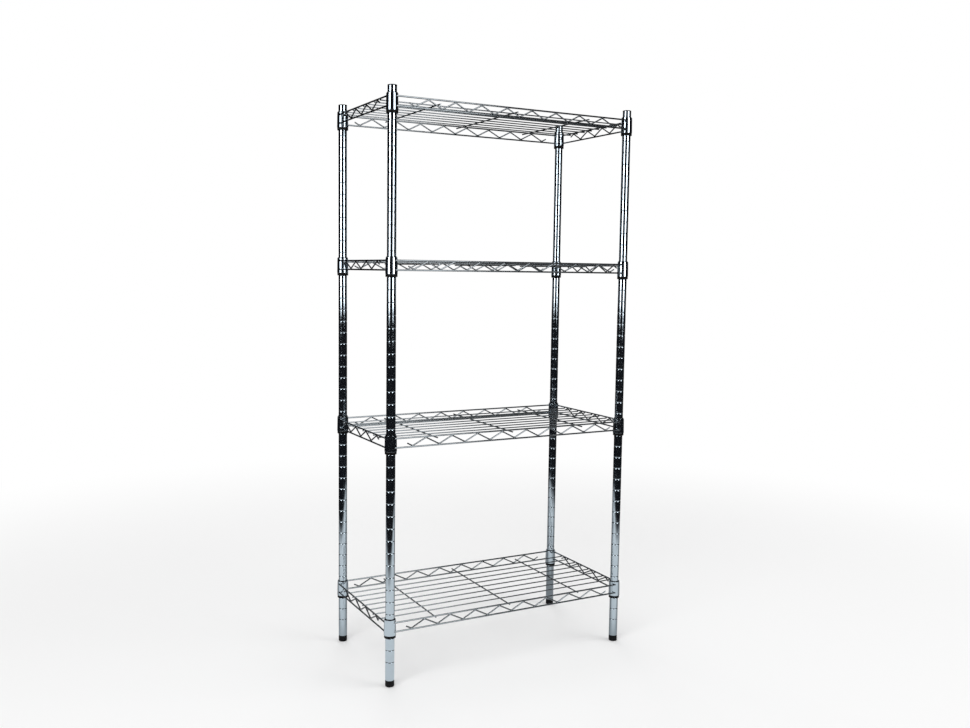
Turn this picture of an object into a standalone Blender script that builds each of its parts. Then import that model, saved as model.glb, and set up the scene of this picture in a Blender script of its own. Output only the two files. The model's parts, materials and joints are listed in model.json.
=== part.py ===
"""Four-shelf wire shelving unit: grooved posts, split sleeves, lift-off shelves and levelling feet.

Lengths are metres. X runs along the long sides, the front faces -Y, and Z rises from the floor.
The origin is on the floor, at the middle of the four posts.
"""

import math

import bmesh
import bpy
from mathutils import Matrix, Vector

# Fits between neighbouring pieces
FIT_GAP = 0.0003
WELD_DEPTH = 0.00015
ROUND_SIDES = 12

# Posts: grooved tubes at the four corners
POST_SPAN_X = 0.563
POST_SPAN_Y = 0.277
POST_RADIUS = 0.0095
POST_WALL = 0.0010
POST_LENGTH = 1.1970
GROOVE_DEPTH = 0.0005
GROOVE_WIDTH = 0.0030

# Groove ladder: height of the lowest groove, and the pitch up the post
GROOVE_START = 0.0525
GROOVE_PITCH = 0.0254

# Steps up the ladder at which the sleeve rings of the lower three shelves end
SHELF_STEPS = {"bottom": 2, "lower": 17, "upper": 31}

# Drop from the posts' upper ends to the sleeve rings of the top shelf, which has a groove of its own
TOP_SHELF_DROP = 0.0529

# Post caps
CAP_RIM_HEIGHT = 0.0010
CAP_DOME_HEIGHT = 0.0014
CAP_PLUG_LENGTH = 0.0120
CAP_DOME_STEPS = 3

# Levelling feet and the threaded inserts that hold them
FOOT_HEIGHT = 0.0130
FOOT_RADIUS = 0.0095
FOOT_EDGE_RADIUS = 0.0020
FOOT_EDGE_STEPS = 3
STEM_RADIUS = 0.0040
STEM_LENGTH = 0.0240
INSERT_LENGTH = 0.0200

# Split sleeves
SLEEVE_WALL = 0.0009
SLEEVE_LIP = 0.0015
RING_HEIGHT = 0.0055
RING_RADIUS = 0.0120
RING_CHAMFER = 0.0012
BEAD_DEPTH = 0.0005
BEAD_WIDTH = 0.0022

# Corner collars of the shelf frames
COLLAR_HEIGHT = 0.0330
COLLAR_WALL = 0.0010
COLLAR_TAPER = 0.0006

# Rail wires of the shelf frames and the zigzag wires between them
RAIL_SIZE = 0.0035
RAIL_SPACING = 0.0190
RAIL_OFFSET = 0.0105
RAIL_HEIGHT = 0.0080
RAIL_END_INSET = 0.0040
ZIGZAG_SIZE = 0.0030
ZIGZAG_PITCH = 0.0595
ZIGZAG_SINK = 0.0006
STUB_LENGTH = 0.0130

# Deck wires
MAT_SIZE = 0.0026
MAT_COUNT = 8
CROSS_SIZE = 0.0030
CROSS_PITCHES = 3
CROSS_COUNT = 3
CROSS_END_INSET = 0.0070

# Values that follow from the ones above
POST_BASE = FOOT_HEIGHT + FIT_GAP
POST_TOP = POST_BASE + POST_LENGTH
TUBE_BORE = POST_RADIUS - POST_WALL
SLEEVE_BORE = POST_RADIUS + FIT_GAP
COLLAR_BASE = RING_HEIGHT + FIT_GAP
COLLAR_TOP = COLLAR_BASE + COLLAR_HEIGHT
SLEEVE_TOP_RADIUS = SLEEVE_BORE + SLEEVE_WALL
BORE_TOP_RADIUS = SLEEVE_TOP_RADIUS + FIT_GAP
COLLAR_TOP_RADIUS = BORE_TOP_RADIUS + COLLAR_WALL
RAIL_X = POST_SPAN_X / 2 + RAIL_OFFSET
RAIL_Y = POST_SPAN_Y / 2 + RAIL_OFFSET
UPPER_RAIL = COLLAR_BASE + RAIL_HEIGHT + RAIL_SPACING
MAT_BASE = UPPER_RAIL - RAIL_SIZE / 2 - FIT_GAP - MAT_SIZE
CROSS_TOP = MAT_BASE + WELD_DEPTH

# Height of the sleeve rings' lower edge under each shelf
SHELF_HEIGHTS = {level: GROOVE_START + GROOVE_PITCH * steps for level, steps in SHELF_STEPS.items()}
SHELF_HEIGHTS["top"] = POST_TOP - TOP_SHELF_DROP

CORNERS = {
    "front_left": (-1, -1),
    "front_right": (1, -1),
    "back_left": (-1, 1),
    "back_right": (1, 1),
}


def clear_scene():
    """Remove every object, so that the script starts from an empty scene."""
    for obj in list(bpy.data.objects):
        bpy.data.objects.remove(obj, do_unlink=True)


def make_material(name, colour, roughness, metallic):
    """Return a plain Principled material."""
    material = bpy.data.materials.new(name)
    material.use_nodes = True
    shader = material.node_tree.nodes["Principled BSDF"]
    shader.inputs["Base Color"].default_value = (*colour, 1.0)
    shader.inputs["Roughness"].default_value = roughness
    shader.inputs["Metallic"].default_value = metallic
    return material


def finish_mesh(bm, name, smooth_angle=None):
    """Turn a bmesh into a mesh whose faces point outwards, shaded smooth below an angle."""
    bmesh.ops.remove_doubles(bm, verts=bm.verts, dist=1e-6)
    bmesh.ops.recalc_face_normals(bm, faces=bm.faces)
    mesh = bpy.data.meshes.new(name)
    bm.to_mesh(mesh)
    bm.free()
    if smooth_angle is not None:
        mesh.shade_smooth()
        mesh.set_sharp_from_angle(angle=smooth_angle)
    return mesh


def place(name, mesh, material, location, parent=None):
    """Link a named object that shows a mesh, at a location under its parent."""
    obj = bpy.data.objects.new(name, mesh)
    if not mesh.materials:
        mesh.materials.append(material)
    obj.location = location
    obj.parent = parent
    bpy.context.scene.collection.objects.link(obj)
    return obj


def place_empty(name, location):
    """Link an empty that carries the pieces of one moving body."""
    empty = bpy.data.objects.new(name, None)
    empty.location = location
    bpy.context.scene.collection.objects.link(empty)
    return empty


def turned(name, profile, start=0.0, sweep=2 * math.pi):
    """Spin a closed (radius, height) profile about Z, all the way round or through a part turn."""
    bm = bmesh.new()
    whole = abs(sweep) > 2 * math.pi - 1e-6
    turn = Matrix.Rotation(start, 4, "Z")
    points = [bm.verts.new(turn @ Vector((radius, 0.0, height))) for radius, height in profile]
    edges = [bm.edges.new((points[i - 1], points[i])) for i in range(len(points))]
    spun = bmesh.ops.spin(
        bm,
        geom=points + edges,
        cent=(0.0, 0.0, 0.0),
        axis=(0.0, 0.0, 1.0),
        angle=sweep,
        steps=round(ROUND_SIDES * sweep / (2 * math.pi)),
        use_merge=whole,
    )
    if not whole:
        bm.faces.new(points)
        last_edges = [item for item in spun["geom_last"] if isinstance(item, bmesh.types.BMEdge)]
        bmesh.ops.contextual_create(bm, geom=last_edges)
    return finish_mesh(bm, name, math.radians(50))


def arc_points(centre, radius, first, last, steps):
    """Return (radius, height) points along an arc, with its angles from the outward direction."""
    angles = [first + (last - first) * i / steps for i in range(steps + 1)]
    return [(centre[0] + radius * math.cos(a), centre[1] + radius * math.sin(a)) for a in angles]


def corner_point(corner, height=0.0):
    """Return the point on a post's axis at a height."""
    side_x, side_y = CORNERS[corner]
    return Vector((side_x * POST_SPAN_X / 2, side_y * POST_SPAN_Y / 2, height))


def post_mesh():
    """Tube with a rolled groove one pitch above each ring's lower edge; its origin is at its lower end."""
    outside = [(POST_RADIUS, POST_LENGTH)]
    for height in sorted(SHELF_HEIGHTS.values(), reverse=True):
        seat = height + GROOVE_PITCH - POST_BASE
        outside.append((POST_RADIUS, seat + GROOVE_WIDTH / 2))
        outside.append((POST_RADIUS - GROOVE_DEPTH, seat))
        outside.append((POST_RADIUS, seat - GROOVE_WIDTH / 2))
    outside.append((POST_RADIUS, 0.0))
    inside = [(TUBE_BORE, 0.0), (TUBE_BORE, POST_LENGTH)]
    return turned("post", outside + inside)


def cap_mesh():
    """Domed head on a plug; its origin is at the upper end of the post."""
    plug = TUBE_BORE - FIT_GAP
    dome = []
    for i in range(CAP_DOME_STEPS + 1):
        angle = math.pi / 2 * (1 - i / CAP_DOME_STEPS)
        rise = FIT_GAP + CAP_RIM_HEIGHT + CAP_DOME_HEIGHT * math.sin(angle)
        dome.append((POST_RADIUS * math.cos(angle), rise))
    under = [(POST_RADIUS, FIT_GAP), (plug, FIT_GAP), (plug, -CAP_PLUG_LENGTH), (0.0, -CAP_PLUG_LENGTH)]
    return turned("post_cap", dome + under)


def insert_mesh():
    """Plug with a hole for the foot's stem; its origin is at the lower end of the post."""
    outside = TUBE_BORE - FIT_GAP
    hole = STEM_RADIUS + FIT_GAP
    return turned(
        "foot_insert",
        [(outside, INSERT_LENGTH), (outside, 0.0), (hole, 0.0), (hole, INSERT_LENGTH)],
    )


def foot_mesh():
    """Pad with a rounded lower edge and a stem; its origin is on the floor."""
    stem_top = FOOT_HEIGHT + STEM_LENGTH
    edge_centre = (FOOT_RADIUS - FOOT_EDGE_RADIUS, FOOT_EDGE_RADIUS)
    edge = arc_points(edge_centre, FOOT_EDGE_RADIUS, 0.0, -math.pi / 2, FOOT_EDGE_STEPS)
    stem = [(0.0, stem_top), (STEM_RADIUS, stem_top), (STEM_RADIUS, FOOT_HEIGHT), (FOOT_RADIUS, FOOT_HEIGHT)]
    return turned("foot", stem + edge + [(0.0, 0.0)])


def sleeve_mesh():
    """Front half of a tapered sleeve; its origin is on the post's axis at the ring's lower edge."""
    taper = COLLAR_TAPER / COLLAR_HEIGHT
    top = COLLAR_TOP + SLEEVE_LIP
    top_radius = SLEEVE_TOP_RADIUS - taper * SLEEVE_LIP
    shoulder_radius = SLEEVE_TOP_RADIUS + taper * (COLLAR_TOP - RING_HEIGHT)
    outside = [
        (top_radius, top),
        (shoulder_radius, RING_HEIGHT),
        (RING_RADIUS, RING_HEIGHT),
        (RING_RADIUS, RING_CHAMFER),
        (RING_RADIUS - RING_CHAMFER, 0.0),
    ]
    inside = [
        (SLEEVE_BORE, 0.0),
        (SLEEVE_BORE, GROOVE_PITCH - BEAD_WIDTH / 2),
        (SLEEVE_BORE - BEAD_DEPTH, GROOVE_PITCH),
        (SLEEVE_BORE, GROOVE_PITCH + BEAD_WIDTH / 2),
        (SLEEVE_BORE, top),
    ]
    split = math.asin(FIT_GAP / 2 / SLEEVE_BORE)
    return turned("sleeve_half", outside + inside, start=math.pi + split, sweep=math.pi - 2 * split)


def notch_points(length, last_step):
    """Return the points round the open end of a truss at +X, from the lower rail to the upper one."""
    wire = zigzag_shape()
    lower = last_step % 2 == 0
    turn_x = last_step * ZIGZAG_PITCH / 2
    near = RAIL_SIZE / 2
    far = RAIL_SPACING - RAIL_SIZE / 2
    along = Vector((math.cos(wire["angle"]), math.sin(wire["angle"])))
    across = Vector((-along.y, along.x)) * ZIGZAG_SIZE / 2
    stub_end = Vector((turn_x, wire["turn"])) + along * STUB_LENGTH
    points = [
        Vector((length, near)),
        Vector((turn_x + wire["toe"], near)),
        stub_end - across,
        stub_end + across,
        Vector((turn_x, wire["turn"] + wire["rise"])),
        Vector((turn_x - wire["base"], far)),
        Vector((length, far)),
    ]
    if lower:
        return points
    flipped = [Vector((point.x, RAIL_SPACING - point.y)) for point in points]
    return flipped[::-1]


def zigzag_shape():
    """Return the slope of the zigzag wire and the offsets of its edges, from the rails' sizes."""
    turn = RAIL_SIZE / 2 + ZIGZAG_SIZE / 2 - ZIGZAG_SINK
    angle = math.atan2(RAIL_SPACING - 2 * turn, ZIGZAG_PITCH / 2)
    rise = ZIGZAG_SIZE / 2 / math.cos(angle)
    slope = math.tan(angle)
    return {
        "turn": turn,
        "angle": angle,
        "rise": rise,
        "toe": (RAIL_SIZE / 2 - turn + rise) / slope,
        "base": (RAIL_SPACING - RAIL_SIZE / 2 - turn - rise) / slope,
    }


def add_loop(bm, points):
    """Add a closed loop of edges in the XZ plane."""
    verts = [bm.verts.new((point[0], 0.0, point[1])) for point in points]
    return [bm.edges.new((verts[i - 1], verts[i])) for i in range(len(verts))]


def add_truss(bm, span, transform):
    """Add two rails and the zigzag wire welded between them, for posts that stand a span apart."""
    wire = zigzag_shape()
    length = span / 2 - RAIL_END_INSET
    clear = span / 2 - COLLAR_TOP_RADIUS - COLLAR_TAPER - STUB_LENGTH
    last_step = math.floor(clear / (ZIGZAG_PITCH / 2))
    low = -RAIL_SIZE / 2
    high = RAIL_SPACING + RAIL_SIZE / 2
    right = [Vector((length, low)), *notch_points(length, last_step), Vector((length, high))]
    left = [Vector((-point.x, point.y)) for point in reversed(right)]

    truss = bmesh.new()
    edges = add_loop(truss, right + left)
    for step in range(1 - last_step, last_step):
        x = step * ZIGZAG_PITCH / 2
        hole = [
            (x, wire["turn"] + wire["rise"]),
            (x + wire["base"], RAIL_SPACING - RAIL_SIZE / 2),
            (x - wire["base"], RAIL_SPACING - RAIL_SIZE / 2),
        ]
        if step % 2:
            hole = [(x_at, RAIL_SPACING - z_at) for x_at, z_at in hole]
        edges += add_loop(truss, hole)
    bmesh.ops.triangle_fill(truss, use_beauty=True, edges=edges)
    body = bmesh.ops.extrude_face_region(truss, geom=truss.faces)
    moved = [item for item in body["geom"] if isinstance(item, bmesh.types.BMVert)]
    bmesh.ops.translate(truss, verts=moved, vec=(0.0, RAIL_SIZE, 0.0))
    bmesh.ops.translate(truss, verts=truss.verts, vec=(0.0, -RAIL_SIZE / 2, 0.0))
    bmesh.ops.transform(truss, verts=truss.verts, matrix=transform)
    bmesh.ops.recalc_face_normals(truss, faces=truss.faces)
    part = bpy.data.meshes.new("truss")
    truss.to_mesh(part)
    truss.free()
    bm.from_mesh(part)
    bpy.data.meshes.remove(part)


def add_cone(bm, corner, base, height, base_radius, top_radius):
    """Add a closed cone frustum on a post's axis."""
    centre = corner_point(corner, base + height / 2)
    bmesh.ops.create_cone(
        bm,
        cap_ends=True,
        segments=ROUND_SIDES,
        radius1=base_radius,
        radius2=top_radius,
        depth=height,
        matrix=Matrix.Translation(centre),
    )


def add_bar(bm, centre, size):
    """Add a rectangular bar."""
    bmesh.ops.create_cube(bm, size=1.0, matrix=Matrix.Translation(centre) @ Matrix.Diagonal((*size, 1.0)))


def combine(mesh, tool, operation):
    """Return the exact union or difference of two meshes."""
    target = bpy.data.objects.new("target", mesh)
    helper = bpy.data.objects.new("helper", tool)
    for obj in (target, helper):
        bpy.context.scene.collection.objects.link(obj)
    boolean = target.modifiers.new("combine", "BOOLEAN")
    boolean.object = helper
    boolean.operation = operation
    boolean.solver = "EXACT"
    result = bpy.data.meshes.new_from_object(target.evaluated_get(bpy.context.evaluated_depsgraph_get()))
    for obj in (target, helper):
        bpy.data.objects.remove(obj, do_unlink=True)
    return result


def frame_mesh():
    """Collars, rails and zigzags of a shelf as one weldment; its origin is at the sleeve rings' lower edge."""
    collars = bmesh.new()
    bores = bmesh.new()
    bore_reach = COLLAR_HEIGHT / 2
    bore_growth = COLLAR_TAPER / COLLAR_HEIGHT * bore_reach
    for corner in CORNERS:
        base_radius = COLLAR_TOP_RADIUS + COLLAR_TAPER
        add_cone(collars, corner, COLLAR_BASE, COLLAR_HEIGHT, base_radius, COLLAR_TOP_RADIUS)
        add_cone(
            bores,
            corner,
            COLLAR_BASE - bore_reach,
            COLLAR_HEIGHT + 2 * bore_reach,
            BORE_TOP_RADIUS + COLLAR_TAPER + bore_growth,
            BORE_TOP_RADIUS - bore_growth,
        )

    trusses = bmesh.new()
    lower_rail = COLLAR_BASE + RAIL_HEIGHT
    quarter_turn = Matrix.Rotation(math.pi / 2, 4, "Z")
    for side in (-1, 1):
        add_truss(trusses, POST_SPAN_X, Matrix.Translation((0.0, side * RAIL_Y, lower_rail)))
        side_place = Matrix.Translation((side * RAIL_X, 0.0, lower_rail))
        add_truss(trusses, POST_SPAN_Y, side_place @ quarter_turn)

    welded = combine(finish_mesh(collars, "collars"), finish_mesh(trusses, "trusses"), "UNION")
    mesh = combine(welded, finish_mesh(bores, "bores"), "DIFFERENCE")
    mesh.name = "shelf_frame"
    mesh.shade_smooth()
    mesh.set_sharp_from_angle(angle=math.radians(40))
    return mesh


def deck_mesh():
    """Long mat wires welded on top of the cross wires; same origin as the frame.

    The mat wires pass under the upper side rails, midway between the turns of the side zigzags.
    """
    mat_pitch = ZIGZAG_PITCH / 2
    mat_length = 2 * RAIL_X + RAIL_SIZE
    mats = bmesh.new()
    for i in range(MAT_COUNT):
        y = (i - (MAT_COUNT - 1) / 2) * mat_pitch
        add_bar(mats, (0.0, y, MAT_BASE + MAT_SIZE / 2), (mat_length, MAT_SIZE, MAT_SIZE))

    cross_length = 2 * (RAIL_Y - CROSS_END_INSET)
    crosses = bmesh.new()
    for i in range(CROSS_COUNT):
        x = (i - (CROSS_COUNT - 1) / 2) * CROSS_PITCHES * ZIGZAG_PITCH
        add_bar(crosses, (x, 0.0, CROSS_TOP - CROSS_SIZE / 2), (CROSS_SIZE, cross_length, CROSS_SIZE))

    mesh = combine(finish_mesh(mats, "mats"), finish_mesh(crosses, "crosses"), "UNION")
    mesh.name = "shelf_deck"
    return mesh


def build_posts(materials):
    """Stand the posts at their corners, with their caps, inserts and feet."""
    post = post_mesh()
    cap = cap_mesh()
    insert = insert_mesh()
    foot = foot_mesh()
    for corner in CORNERS:
        place(f"post_{corner}", post, materials["chrome"], corner_point(corner, POST_BASE))
        place(f"post_cap_{corner}", cap, materials["cap"], corner_point(corner, POST_TOP))
        place(f"foot_insert_{corner}", insert, materials["insert"], corner_point(corner, POST_BASE))
        place(f"foot_{corner}", foot, materials["foot"], corner_point(corner))


def build_sleeves(materials):
    """Clip two sleeve halves round each post under each shelf."""
    half = sleeve_mesh()
    for level, height in SHELF_HEIGHTS.items():
        for corner in CORNERS:
            centre = corner_point(corner, height)
            place(f"sleeve_{level}_{corner}_front", half, materials["sleeve"], centre)
            back = place(f"sleeve_{level}_{corner}_back", half, materials["sleeve"], centre)
            back.rotation_euler.z = math.pi


def build_shelves(materials):
    """Set each shelf's frame and deck on an empty that lifts straight up its posts."""
    frame = frame_mesh()
    deck = deck_mesh()
    for level, height in SHELF_HEIGHTS.items():
        lift = place_empty(f"shelf_{level}_lift", (0.0, 0.0, height))
        place(f"shelf_frame_{level}", frame, materials["wire"], (0.0, 0.0, 0.0), lift)
        place(f"shelf_deck_{level}", deck, materials["mat"], (0.0, 0.0, 0.0), lift)


def main():
    """Build the whole unit."""
    clear_scene()
    materials = {
        "chrome": make_material("chromed_tube", (0.78, 0.81, 0.84), 0.10, 1.0),
        "wire": make_material("chromed_frame", (0.76, 0.79, 0.82), 0.14, 1.0),
        "mat": make_material("chromed_mat", (0.76, 0.79, 0.82), 0.16, 1.0),
        "cap": make_material("cap_plastic", (0.015, 0.015, 0.016), 0.45, 0.0),
        "insert": make_material("insert_plastic", (0.05, 0.05, 0.05), 0.60, 0.0),
        "foot": make_material("foot_plastic", (0.012, 0.012, 0.013), 0.50, 0.0),
        "sleeve": make_material("sleeve_plastic", (0.012, 0.012, 0.014), 0.40, 0.0),
    }
    build_posts(materials)
    build_sleeves(materials)
    build_shelves(materials)


main()
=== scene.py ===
"""Dress a four-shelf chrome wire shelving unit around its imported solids.

Lengths are metres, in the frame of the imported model: X runs along the long sides, the front faces -Y and
Z rises from the floor. Every piece sits at the origin, with its place in its mesh.
"""

import json
import logging
import math
from collections.abc import Callable, Iterator
from contextlib import contextmanager
from dataclasses import dataclass, field
from enum import Enum
from typing import ClassVar

import bmesh
import bpy
from mathutils import Matrix, Vector

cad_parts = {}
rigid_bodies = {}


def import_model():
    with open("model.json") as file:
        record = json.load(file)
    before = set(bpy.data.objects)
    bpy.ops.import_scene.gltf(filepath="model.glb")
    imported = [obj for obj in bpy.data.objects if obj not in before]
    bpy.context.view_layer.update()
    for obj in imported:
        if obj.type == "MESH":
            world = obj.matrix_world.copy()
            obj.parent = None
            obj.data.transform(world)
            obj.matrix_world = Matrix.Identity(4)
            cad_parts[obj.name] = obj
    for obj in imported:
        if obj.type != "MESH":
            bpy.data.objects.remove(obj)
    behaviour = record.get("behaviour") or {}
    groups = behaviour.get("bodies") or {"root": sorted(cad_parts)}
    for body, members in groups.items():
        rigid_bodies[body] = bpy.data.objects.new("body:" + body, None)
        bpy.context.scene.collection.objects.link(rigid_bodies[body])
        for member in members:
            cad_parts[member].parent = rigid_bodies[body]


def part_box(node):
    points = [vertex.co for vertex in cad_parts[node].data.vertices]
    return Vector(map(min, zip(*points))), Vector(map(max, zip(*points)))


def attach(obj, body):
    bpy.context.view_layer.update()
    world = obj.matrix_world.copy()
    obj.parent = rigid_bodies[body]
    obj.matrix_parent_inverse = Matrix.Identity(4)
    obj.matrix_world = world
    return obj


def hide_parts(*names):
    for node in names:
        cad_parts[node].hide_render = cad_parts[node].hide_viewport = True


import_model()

LOG = logging.getLogger("shelving")
UPRIGHTS = "uprights"
FULL_TURN = 2 * math.pi
QUARTER_TURN = math.pi / 2
MERGE_DISTANCE = 2e-6
START_SIZE = 0.01
BEND_SEGMENTS = 6
WIRE_RESOLUTION = 5
MOULD_SHARP = 60.0
FIRST_GROOVE = 0.0525
GROOVE_PITCH = 0.0254
WHITE = (1.0, 1.0, 1.0, 1.0)
MIX_FIRST = 6
MIX_SECOND = 7
MIX_RESULT = 2

Object = bpy.types.Object
Socket = bpy.types.NodeSocket
Outputs = bpy.types.NodeOutputs
Material = bpy.types.Material
Pair = tuple[float, float]
Triple = tuple[float, float, float]
Profile = list[Pair]
Test = Callable[[Vector], bool]


class Corner(Enum):
    """The four posts, by name."""

    FRONT_LEFT = "front_left"
    FRONT_RIGHT = "front_right"
    BACK_LEFT = "back_left"
    BACK_RIGHT = "back_right"


class Level(Enum):
    """The four shelves, from the floor up."""

    BOTTOM = "bottom"
    LOWER = "lower"
    UPPER = "upper"
    TOP = "top"


class Side(Enum):
    """The four sides of a shelf frame, with the direction in which each one faces."""

    FRONT = (0, -1)
    BACK = (0, 1)
    LEFT = (-1, 0)
    RIGHT = (1, 0)

    @property
    def is_long(self) -> bool:
        """Say whether the side runs along X."""
        return self.value[0] == 0


class Half(Enum):
    """The two halves of a sleeve, with the turn from the front one."""

    FRONT = 0.0
    BACK = math.pi


class Slot(Enum):
    """The material slots of the record."""

    TUBE = "chrome_tube"
    WIRE = "chrome_wire"
    MAT = "chrome_mat"
    CAP = "cap_plastic"
    INSERT = "insert_plastic"
    FOOT = "foot_plastic"
    SLEEVE = "sleeve_plastic"


@dataclass(frozen=True)
class Layout:
    """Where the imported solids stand, read from the frame.

    Attributes:
        axes: the foot of each post's axis, on the floor.
        post_base: height of the posts' lower ends.
        post_top: height of the posts' upper ends.
        heights: height of the sleeve rings' lower edge under each shelf.
    """

    axes: dict[Corner, Vector]
    post_base: float
    post_top: float
    heights: dict[Level, float]

    @classmethod
    def read(cls) -> "Layout":
        """Read the layout from the loaded frame.

        Returns:
            The layout.
        """
        boxes = {corner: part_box(f"post_{corner.value}") for corner in Corner}
        axes = {}
        for corner, (low, high) in boxes.items():
            axes[corner] = Vector(((low.x + high.x) / 2, (low.y + high.y) / 2, 0.0))
        low, high = boxes[Corner.FRONT_LEFT]
        heights = {level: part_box(f"sleeve_{level.value}_front_left_front")[0].z for level in Level}
        return cls(axes, low.z, high.z, heights)

    @property
    def span_x(self) -> float:
        """Return the distance between the posts along X."""
        return self.axes[Corner.FRONT_RIGHT].x - self.axes[Corner.FRONT_LEFT].x

    @property
    def span_y(self) -> float:
        """Return the distance between the posts along Y."""
        return self.axes[Corner.BACK_LEFT].y - self.axes[Corner.FRONT_LEFT].y


def up(height: float) -> Vector:
    """Return an upright vector of a given height."""
    return Vector((0.0, 0.0, height))


def deselect_all() -> None:
    """Leave edit mode and clear the selection, so that an operator acts on nothing by chance."""
    if bpy.context.mode != "OBJECT":
        bpy.ops.object.mode_set(mode="OBJECT")
    bpy.ops.object.select_all(action="DESELECT")


def make_active(obj: Object) -> None:
    """Make an object the only selected one, and the active one.

    Args:
        obj: the object.
    """
    deselect_all()
    obj.select_set(True)
    bpy.context.view_layer.objects.active = obj


def named(name: str) -> Object:
    """Name the object that an operator has just made.

    Args:
        name: its name.

    Returns:
        The object.
    """
    obj = bpy.context.object
    obj.name = name
    obj.data.name = name
    return obj


def primitive(name: str, add: Callable[..., set[str]], **options: object) -> Object:
    """Add the shape that a new body starts from.

    Args:
        name: name of the new object.
        add: operator that adds the shape.
        options: settings of the operator.

    Returns:
        The object, with its place moved into its mesh.
    """
    deselect_all()
    add(**options)
    obj = named(name)
    bpy.ops.object.transform_apply()
    return obj


@contextmanager
def editing(obj: Object) -> Iterator[None]:
    """Hold an object in edit mode, with its whole mesh selected at the start.

    Args:
        obj: the mesh object to edit.
    """
    make_active(obj)
    bpy.ops.object.mode_set(mode="EDIT")
    bpy.ops.mesh.select_mode(type="VERT")
    bpy.ops.mesh.select_all(action="SELECT")
    try:
        yield
    finally:
        bpy.ops.object.mode_set(mode="OBJECT")


def select_verts(obj: Object, test: Callable[[bmesh.types.BMVert], bool]) -> None:
    """Select the vertices that pass a test, in edit mode.

    Args:
        obj: the mesh object in edit mode.
        test: says whether a vertex is selected.
    """
    mesh = bmesh.from_edit_mesh(obj.data)
    for vert in mesh.verts:
        vert.select = test(vert)
    mesh.select_flush_mode()
    bmesh.update_edit_mesh(obj.data)


def delete_faces(obj: Object, test: Test) -> None:
    """Delete the faces whose middles pass a test.

    Args:
        obj: the mesh object.
        test: says of a face's middle whether the face goes.
    """
    with editing(obj):
        bpy.ops.mesh.select_mode(type="FACE")
        mesh = bmesh.from_edit_mesh(obj.data)
        for face in mesh.faces:
            face.select = test(face.calc_center_median())
        mesh.select_flush_mode()
        bmesh.update_edit_mesh(obj.data)
        bpy.ops.mesh.delete(type="FACE")


def clean_up() -> None:
    """Merge doubles and point every face outwards, in edit mode."""
    bpy.ops.mesh.select_all(action="SELECT")
    bpy.ops.mesh.remove_doubles(threshold=MERGE_DISTANCE)
    bpy.ops.mesh.normals_make_consistent(inside=False)


def draw_line(name: str, points: list[Vector], closed: bool = False) -> Object:
    """Draw a line of edges by extruding one vertex from point to point.

    Args:
        name: name of the new object.
        points: the points of the line.
        closed: joins the last point to the first.

    Returns:
        The object with the line.
    """
    obj = primitive(name, bpy.ops.mesh.primitive_plane_add, size=START_SIZE)
    with editing(obj):
        bpy.ops.mesh.merge(type="CENTER")
        bpy.ops.transform.translate(value=points[0])
        for here, there in zip(points, points[1:]):
            bpy.ops.mesh.extrude_vertices_move(TRANSFORM_OT_translate={"value": there - here})
        if closed:
            select_verts(obj, lambda vert: len(vert.link_edges) == 1)
            bpy.ops.mesh.edge_face_add()
    return obj


def round_foot(radius: float, edge: float, steps: int) -> Profile:
    """Return the rounded lower edge of a turned body that stands at height 0, from its side inwards."""
    angles = [QUARTER_TURN * i / steps for i in range(steps + 1)]
    return [(radius - edge * (1 - math.cos(a)), edge * (1 - math.sin(a))) for a in angles]


def turn(name: str, profile: Profile, sides: int, arc: float = FULL_TURN, start: float = 0.0) -> Object:
    """Turn a (radius, height) profile about Z into a closed body.

    Args:
        name: name of the new object.
        profile: the outline, which is closed unless it starts and ends on the axis.
        sides: number of flats in a full turn.
        arc: angle of the turn, from the start towards -Y.
        start: angle of the first outline.

    Returns:
        The turned object.
    """
    points = [Vector((r * math.cos(start), r * math.sin(start), z)) for r, z in profile]
    on_axis = profile[0][0] == 0.0 and profile[-1][0] == 0.0
    obj = draw_line(name, points, closed=not on_axis)
    with editing(obj):
        if arc < FULL_TURN:
            bpy.ops.mesh.edge_face_add()
        steps = round(sides * arc / FULL_TURN)
        bpy.ops.mesh.spin(steps=steps, angle=arc, center=(0.0, 0.0, 0.0), axis=(0.0, 0.0, 1.0))
        clean_up()
    return obj


def round_edges(obj: Object, width: float, segments: int = 2, sharpness: float = 40.0) -> None:
    """Bevel the edges of a body that are sharper than an angle.

    Args:
        obj: the mesh object.
        width: width of the bevel.
        segments: number of faces across it.
        sharpness: angle in degrees from which an edge counts as sharp.
    """
    with editing(obj):
        bpy.ops.mesh.select_mode(type="EDGE")
        bpy.ops.mesh.select_all(action="DESELECT")
        bpy.ops.mesh.edges_select_sharp(sharpness=math.radians(sharpness))
        bpy.ops.mesh.bevel(offset=width, segments=segments, affect="EDGES", clamp_overlap=True)


def apply_modifier(obj: Object, kind: str, **options: object) -> None:
    """Give a body a modifier and apply it.

    Args:
        obj: the mesh object.
        kind: type of the modifier.
        options: settings of the modifier.
    """
    make_active(obj)
    modifier = obj.modifiers.new(kind.lower(), kind)
    for name, value in options.items():
        setattr(modifier, name, value)
    bpy.ops.object.modifier_apply(modifier=modifier.name)


def shade(obj: Object, angle: float = 35.0) -> None:
    """Shade a body smooth, with flat stretches kept flat and edges sharper than an angle kept sharp.

    Args:
        obj: the mesh object.
        angle: angle in degrees from which an edge stays sharp.
    """
    make_active(obj)
    bpy.ops.object.shade_smooth_by_angle(angle=math.radians(angle))
    apply_modifier(obj, "WEIGHTED_NORMAL", keep_sharp=True)


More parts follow.
